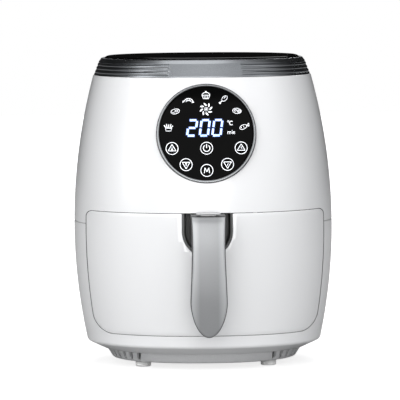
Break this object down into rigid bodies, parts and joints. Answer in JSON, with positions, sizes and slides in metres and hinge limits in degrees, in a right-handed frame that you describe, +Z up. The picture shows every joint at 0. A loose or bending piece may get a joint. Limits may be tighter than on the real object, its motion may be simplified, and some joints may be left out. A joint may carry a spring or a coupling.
{
  "type": "air fryer",
  "caption": "Round-bodied worktop air fryer with a touch display, pull-out basket drawer, hanging handle with guarded release button, heating spiral and fans.",
  "frame": {"origin": "on the worktop, midway between the four feet, under the centre of the round body", "axes": "+Z up, -Y out of the drawer front towards the user, +X to the right of somebody facing the drawer front"},
  "size_m": [0.266, 0.3198, 0.316],
  "materials": {
    "white_gloss": "gloss white moulding",
    "base_grey": "light grey moulding",
    "feet_rubber": "soft pale grey",
    "screw_steel": "zinc plated",
    "trim_silver": "metallic silver-grey coating",
    "black_gloss": "polished black",
    "lens_black": "smoked touch panel",
    "lit_symbols": "backlit diffuser",
    "lit_digits": "lit digits",
    "circuit_board": "green solder mask",
    "dark_moulding": "dark grey moulding",
    "chamber_steel": "aluminised sheet",
    "element_steel": "heat-darkened sheath",
    "ceramic": "glazed ceramic",
    "winding": "enamelled copper wire",
    "capacitor_yellow": "moulded box",
    "plunger_white": "natural acetal",
    "non_stick": "non-stick coating on steel sheet",
    "handle_grey": "satin grey coating"
  },
  "bodies": {
    "housing": {"upper_housing": "white_gloss", "lower_housing": "white_gloss", "base_cover": "base_grey", "foot_front_left": "feet_rubber", "foot_front_right": "feet_rubber", "foot_rear_left": "feet_rubber", "foot_rear_right": "feet_rubber", "base_screw_front_left": "screw_steel", "base_screw_front_right": "screw_steel", "base_screw_rear_left": "screw_steel", "base_screw_rear_right": "screw_steel", "top_band": "trim_silver", "top_cover": "black_gloss", "display_bezel": "trim_silver", "display_lens": "lens_black", "icon_light_guide": "lit_symbols", "led_display": "lit_digits", "touch_board": "circuit_board", "display_carrier": "dark_moulding", "chamber_liner": "chamber_steel", "chamber_floor": "dark_moulding", "opening_frame": "dark_moulding", "upper_deck": "dark_moulding", "reflector": "chamber_steel", "heating_element": "element_steel", "heat_shield": "chamber_steel", "terminal_insulator_left": "ceramic", "terminal_insulator_right": "ceramic", "temperature_probe": "screw_steel", "thermal_cutout": "ceramic", "motor_bracket": "screw_steel", "motor_can": "screw_steel", "motor_stator": "winding", "bearing_lower": "winding", "bearing_upper": "winding", "mains_board": "circuit_board", "relay": "dark_moulding", "filter_capacitor": "capacitor_yellow", "door_switch": "dark_moulding", "rear_grille": "dark_moulding", "cord_gland": "dark_moulding"},
    "rotor": {"motor_shaft": "screw_steel", "rotor_core": "screw_steel", "hot_air_fan": "chamber_steel", "cooling_fan": "dark_moulding", "fan_nut": "screw_steel"},
    "switch_plunger": {"switch_plunger": "plunger_white"},
    "drawer": {"drawer_front": "white_gloss", "handle_recess": "dark_moulding", "front_backing": "dark_moulding", "pan": "non_stick", "basket": "non_stick", "basket_bracket": "screw_steel", "handle_core": "dark_moulding", "handle_cover": "handle_grey", "button_spring_left": "screw_steel", "button_spring_right": "screw_steel"},
    "release_button": {"release_button": "base_grey"},
    "release_bolt": {"release_bolt": "dark_moulding"},
    "button_cover": {"button_cover": "base_grey"}
  },
  "joints": [
    {"name": "drawer_slide", "type": "slide", "parent": "housing", "child": "drawer", "axis": [0, -1, 0], "range_m": [0, 0.24]},
    {"name": "fan_spin", "type": "hinge", "parent": "housing", "child": "rotor", "pos_m": [0, 0, 0.25], "axis": [0, 0, 1], "continuous": true},
    {"name": "switch_press", "type": "slide", "parent": "housing", "child": "switch_plunger", "axis": [0, 0, 1], "range_m": [0, 0.0015], "stiffness_N_per_m": 150, "springref_m": -0.001},
    {"name": "button_press", "type": "slide", "parent": "drawer", "child": "release_button", "axis": [0, 0, -1], "range_m": [0, 0.0035], "stiffness_N_per_m": 500, "springref_m": -0.002, "deforming": ["button_spring_left", "button_spring_right"]},
    {"name": "bolt_retract", "type": "slide", "parent": "drawer", "child": "release_bolt", "axis": [0, -1, 0], "range_m": [0, 0.0035]},
    {"name": "cover_slide", "type": "slide", "parent": "drawer", "child": "button_cover", "axis": [0, 1, 0], "range_m": [0, 0.013]}
  ],
  "couplings": [
    {"joint": "bolt_retract", "follows": "button_press", "ratio": 1}
  ]
}
